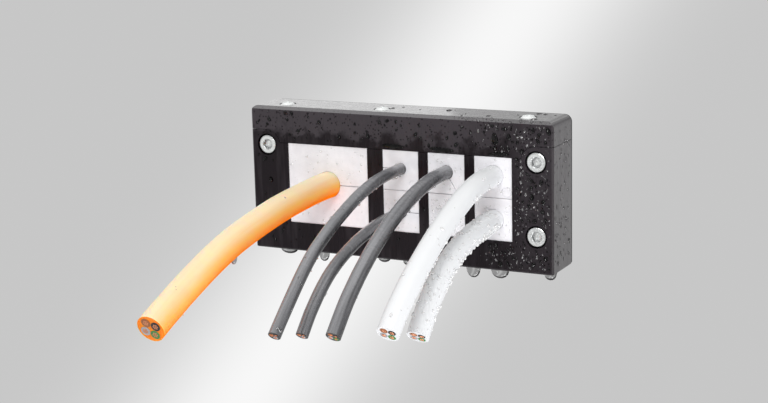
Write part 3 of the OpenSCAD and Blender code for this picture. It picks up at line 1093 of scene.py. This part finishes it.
# Studio
# A pale floor below the hanging cables, a grey background with one bright diagonal band, and
# soft lamps above, in front, low at the right, below the cables and, faintly, behind.
view_target = Vector((-17.1, -1.8, -11.1)) * MM
view_distance = 749.3 * MM
view_yaw = math.radians(27.05)
view_pitch = math.radians(12.31)
view_roll = math.radians(-1.42)
view_lens = 77.46
view_sensor_width = 36
backdrop_grey = 0.572
backdrop_band = 0.36
band_width = 0.039
band_right_share = 0.817
band_down_share = 0.577
floor_height = -0.3
floor_radius = 0.5
floor_sides = 96
floor_colours = ((0.7, 0.7, 0.71), (0.75, 0.75, 0.75))
floor_roughness = (0.7, 0.85)
floor_clouds = 12
floor_smears = 30
# Each lamp: its place, the place it points at, its width and height in metres, and its power in watts
lamps = {
    "overhead": ((-0.05, -0.12, 0.75), (-0.05, -0.08, 0), 1.5, 0.6, 2.7),
    "key": ((0.15, -0.85, 0.38), (0, 0, 0), 0.25, 0.25, 2.65),
    "right_low": ((1.0, -0.45, -0.45), (-0.02, -0.08, 0), 0.6, 0.6, 5.6),
    "under_cables": ((0.16, -0.12, -0.27), (-0.034, -0.07, -0.01), 0.12, 0.12, 0.36),
    "left_front": ((-0.42, -0.83, -0.2), (0, 0, 0), 0.7, 0.6, 0.45),
    "right_back": ((0.5, 0.75, -0.1), (0.07, 0, 0), 0.6, 0.6, 0.18),
    "far_back": ((-0.74, 0.95, 0.21), (0, 0, 0), 0.6, 0.4, 0.36),
}

back = Vector((
    math.sin(view_yaw) * math.cos(view_pitch),
    -math.cos(view_yaw) * math.cos(view_pitch),
    math.sin(view_pitch),
))
level_right = Vector((math.cos(view_yaw), math.sin(view_yaw), 0))
level_up = back.cross(level_right)
view_right = math.cos(view_roll) * level_right + math.sin(view_roll) * level_up
view_up = math.cos(view_roll) * level_up - math.sin(view_roll) * level_right

camera_data = bpy.data.cameras.new("camera")
camera_data.lens = view_lens
camera_data.sensor_width = view_sensor_width
camera = bpy.data.objects.new("camera", camera_data)
bpy.context.scene.collection.objects.link(camera)
camera.matrix_world = (
    Matrix.Translation(view_target + back * view_distance)
    @ Matrix((view_right, view_up, back)).transposed().to_4x4()
)
bpy.context.scene.camera = camera
bpy.context.scene.view_settings.view_transform = "Standard"

world = bpy.data.worlds.new("studio")
world.use_nodes = True
bpy.context.scene.world = world
tree = world.node_tree
direction = add_node(tree, "ShaderNodeTexCoord", {}).outputs["Generated"]
across_band = band_right_share * view_right - band_down_share * view_up
off_band = add_node(
    tree, "ShaderNodeVectorMath", {0: direction, 1: across_band}, operation="DOT_PRODUCT"
).outputs["Value"]
squared = combine(tree, "MULTIPLY", off_band, off_band)
glow = combine(tree, "EXPONENT", combine(tree, "MULTIPLY", squared, -0.5 / band_width**2))
brightness = combine(tree, "MULTIPLY_ADD", glow, backdrop_band, backdrop_grey)
tree.links.new(brightness, tree.nodes["Background"].inputs["Color"])

pale_floor, tree, shader = new_finish("pale_floor")
set_inputs(tree, shader, {
    "Base Color": tones(tree, speckle(tree, floor_clouds, detail=3), floor_colours),
    "Roughness": between(tree, speckle(tree, floor_smears), *floor_roughness),
})
shape = bmesh.new()
bmesh.ops.create_circle(shape, cap_ends=True, radius=floor_radius, segments=floor_sides)
floor_data = mesh_from("floor", shape, smooth=False)
floor_data.materials.append(pale_floor)
floor = bpy.data.objects.new("floor", floor_data)
floor.location.z = floor_height
bpy.context.scene.collection.objects.link(floor)

for name, (place, aim, width, height, power) in lamps.items():
    lamp = bpy.data.lights.new(name, "AREA")
    lamp.shape = "RECTANGLE"
    lamp.size = width
    lamp.size_y = height
    lamp.energy = power
    stand = bpy.data.objects.new(name, lamp)
    stand.location = place
    stand.rotation_mode = "QUATERNION"
    stand.rotation_quaternion = (Vector(aim) - Vector(place)).to_track_quat("-Z", "Y")
    stand.visible_camera = False
    bpy.context.scene.collection.objects.link(stand)
